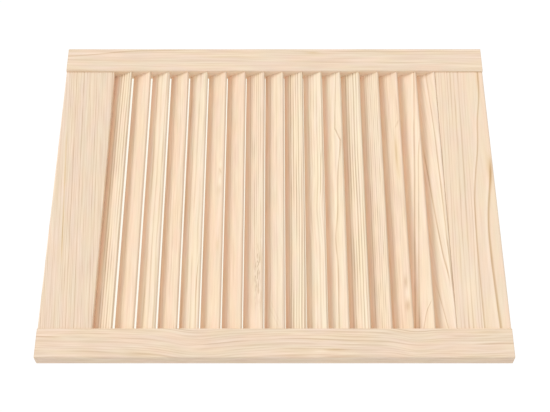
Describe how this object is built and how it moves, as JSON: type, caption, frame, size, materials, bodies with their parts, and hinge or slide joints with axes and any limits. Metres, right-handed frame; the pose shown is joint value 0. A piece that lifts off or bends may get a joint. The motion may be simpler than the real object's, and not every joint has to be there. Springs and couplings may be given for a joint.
{
  "type": "louvred cabinet door",
  "caption": "Louvred cabinet door in bare pine: stiles and rails frame a field of fixed tilted slats that let air into a wardrobe or cupboard while hiding what is inside.",
  "frame": {"origin": "centre of the door's outline, on its back face", "axes": "+X along the stiles from the top rail to the bottom rail, +Y across the door from the left stile to the right stile, +Z out of the front face. The door lies on its back; hung upright, -X points up."},
  "size_m": [0.615, 0.494, 0.021],
  "materials": {
    "pine_stile": "planed and sanded bare pine, matt",
    "pine_rail": "planed and sanded bare pine, matt",
    "pine_slat": "planed and sanded bare pine, matt",
    "beech_dowel": "fluted beech, unfinished"
  },
  "bodies": {
    "root": {"left_stile": "pine_stile", "right_stile": "pine_stile", "top_rail": "pine_rail", "bottom_rail": "pine_rail", "louvre_slat_01": "pine_slat", "louvre_slat_02": "pine_slat", "louvre_slat_03": "pine_slat", "louvre_slat_04": "pine_slat", "louvre_slat_05": "pine_slat", "louvre_slat_06": "pine_slat", "louvre_slat_07": "pine_slat", "louvre_slat_08": "pine_slat", "louvre_slat_09": "pine_slat", "louvre_slat_10": "pine_slat", "louvre_slat_11": "pine_slat", "louvre_slat_12": "pine_slat", "louvre_slat_13": "pine_slat", "louvre_slat_14": "pine_slat", "louvre_slat_15": "pine_slat", "louvre_slat_16": "pine_slat", "louvre_slat_17": "pine_slat", "dowel_top_left_outer": "beech_dowel", "dowel_top_left_inner": "beech_dowel", "dowel_top_right_outer": "beech_dowel", "dowel_top_right_inner": "beech_dowel", "dowel_bottom_left_outer": "beech_dowel", "dowel_bottom_left_inner": "beech_dowel", "dowel_bottom_right_outer": "beech_dowel", "dowel_bottom_right_inner": "beech_dowel"}
  },
  "joints": []
}
